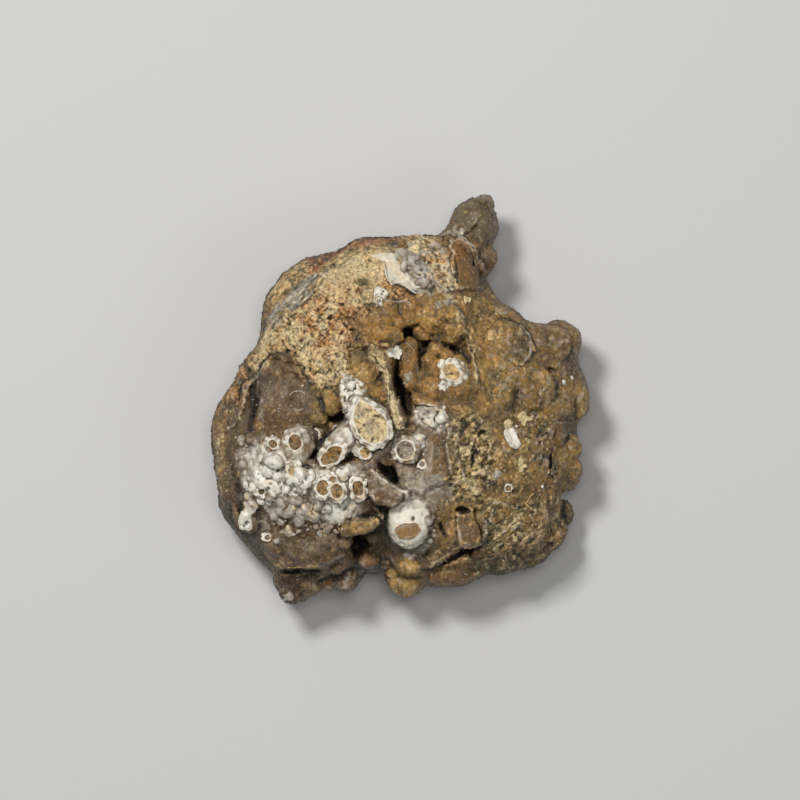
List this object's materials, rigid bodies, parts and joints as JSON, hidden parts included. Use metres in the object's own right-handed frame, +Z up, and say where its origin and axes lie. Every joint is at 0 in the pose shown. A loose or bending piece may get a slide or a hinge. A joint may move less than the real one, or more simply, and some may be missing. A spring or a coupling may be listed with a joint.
{
  "type": "chalcedony mineral specimen",
  "caption": "Hand-sized nodule of brown and white chalcedony with broken stalactite stubs, botryoidal buds, an open pocket and a granular crust; lies on a small flat spot as a display piece.",
  "frame": {"origin": "on the surface that the stone rests on, below the middle of its outline as seen from above", "axes": "+Z up, out of the stone's best face, which shows the stalactites; +Y from the lobed lower rim to the angular knob; +X to the sugary side"},
  "size_m": [0.0951, 0.1019, 0.0526],
  "materials": {
    "chalcedony": "natural stone: waxy brown and white chalcedony, duller and granular on the crust"
  },
  "bodies": {
    "root": {"chalcedony_nodule": "chalcedony"}
  },
  "joints": []
}
